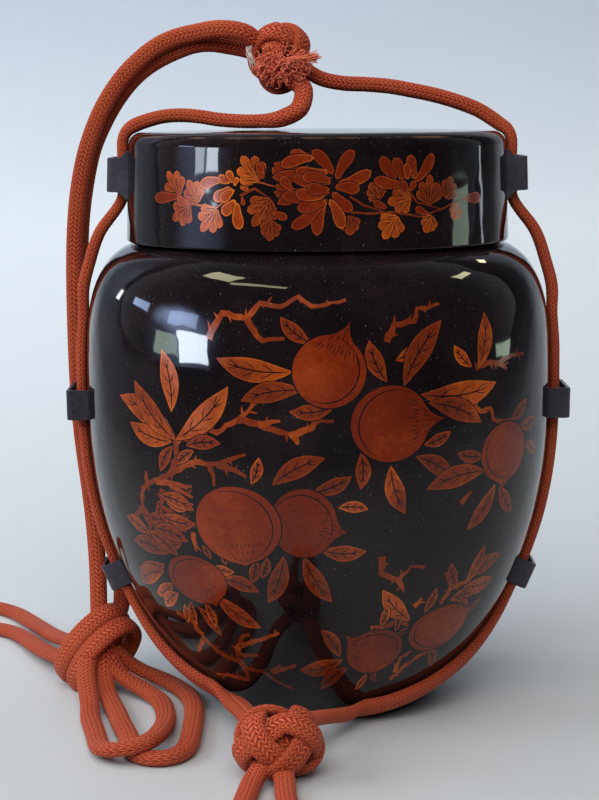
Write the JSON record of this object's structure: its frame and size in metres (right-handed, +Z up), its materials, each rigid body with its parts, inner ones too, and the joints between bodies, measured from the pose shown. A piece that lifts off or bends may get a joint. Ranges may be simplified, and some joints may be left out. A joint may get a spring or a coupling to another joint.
{
  "type": "lacquered storage jar with lid",
  "caption": "Round black lacquered storage jar with a drop-over lid, side strap loops and a knotted red carrying cord, painted with fruiting branches and flowers.",
  "frame": {"origin": "centre of the jar's underside, on the surface that it stands on", "axes": "+Z up along the jar's axis, +X towards the strap loops on the viewer's right, -Y towards the viewer"},
  "size_m": [0.3324, 0.3684, 0.3195],
  "materials": {
    "black_lacquer": "gloss black lacquer over turned wood, painted in vermilion",
    "red_cord": "matt braided cord"
  },
  "bodies": {
    "root": {"jar": "black_lacquer", "lid": "black_lacquer", "lid_loop_left": "black_lacquer", "lid_loop_right": "black_lacquer", "side_loop_left": "black_lacquer", "side_loop_right": "black_lacquer", "lower_loop_left": "black_lacquer", "lower_loop_right": "black_lacquer", "knot_top": "red_cord", "knot_front": "red_cord", "knot_slip": "red_cord", "knot_tail_left": "red_cord", "knot_tail_right": "red_cord", "cord_left": "red_cord", "cord_right": "red_cord", "cord_carry_outer": "red_cord", "cord_carry_inner": "red_cord", "cord_bight": "red_cord", "cord_bow_outer": "red_cord", "cord_bow_inner": "red_cord", "cord_tail_left": "red_cord", "cord_tail_right": "red_cord"}
  },
  "joints": []
}
